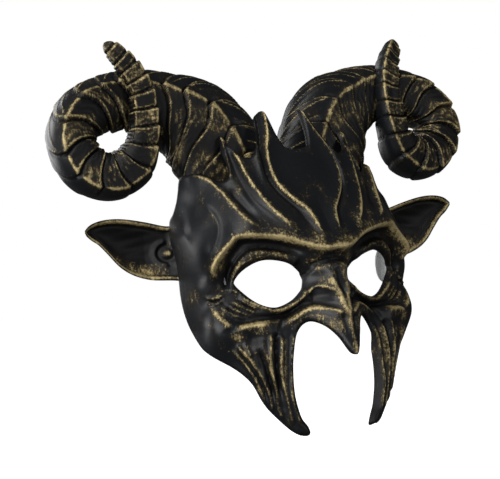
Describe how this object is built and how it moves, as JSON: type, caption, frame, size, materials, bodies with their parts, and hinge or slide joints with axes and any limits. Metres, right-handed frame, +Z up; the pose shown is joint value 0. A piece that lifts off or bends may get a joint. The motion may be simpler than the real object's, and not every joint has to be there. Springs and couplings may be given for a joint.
{
  "type": "horned half mask",
  "caption": "Moulded horned demon half mask worn over the eyes and nose, with coiled hollow ram horns, pointed ears, foam pads and swivelling strap tabs.",
  "frame": {"origin": "midway between the eye openings, where the mask rests on the wearer's face", "axes": "+X to the wearer's left, the face looks along -Y and the wearer's head is on +Y, +Z up"},
  "size_m": [0.2612, 0.0917, 0.2178],
  "materials": {
    "face_plastic": "charcoal satin, gilt dry-brushed on the ridges",
    "horn_plastic": "charcoal satin, gilt dry-brushed on the ring edges",
    "fitting_plastic": "satin moulded",
    "tab_plastic": "satin moulded",
    "pad_foam": "fabric-faced foam",
    "screw_steel": "zinc plated"
  },
  "bodies": {
    "mask": {"face_shell": "face_plastic", "horn_left": "horn_plastic", "horn_right": "horn_plastic", "ear_left": "face_plastic", "ear_right": "face_plastic", "horn_spigot_left": "fitting_plastic", "horn_spigot_right": "fitting_plastic", "horn_screws_left": "screw_steel", "horn_screws_right": "screw_steel", "strap_post_left": "fitting_plastic", "strap_post_right": "fitting_plastic", "post_cap_left": "fitting_plastic", "post_cap_right": "fitting_plastic", "brow_pad": "pad_foam", "temple_pad_left": "pad_foam", "temple_pad_right": "pad_foam"},
    "left_tab": {"strap_tab_left": "tab_plastic"},
    "right_tab": {"strap_tab_right": "tab_plastic"}
  },
  "joints": [
    {"name": "left_tab_turn", "type": "hinge", "parent": "mask", "child": "left_tab", "pos_m": [0.0629, 0.032, 0.027], "axis": [1, 0, 0], "range_deg": [-20, 20]},
    {"name": "right_tab_turn", "type": "hinge", "parent": "mask", "child": "right_tab", "pos_m": [-0.0629, 0.032, 0.027], "axis": [1, 0, 0], "range_deg": [-20, 20]}
  ]
}
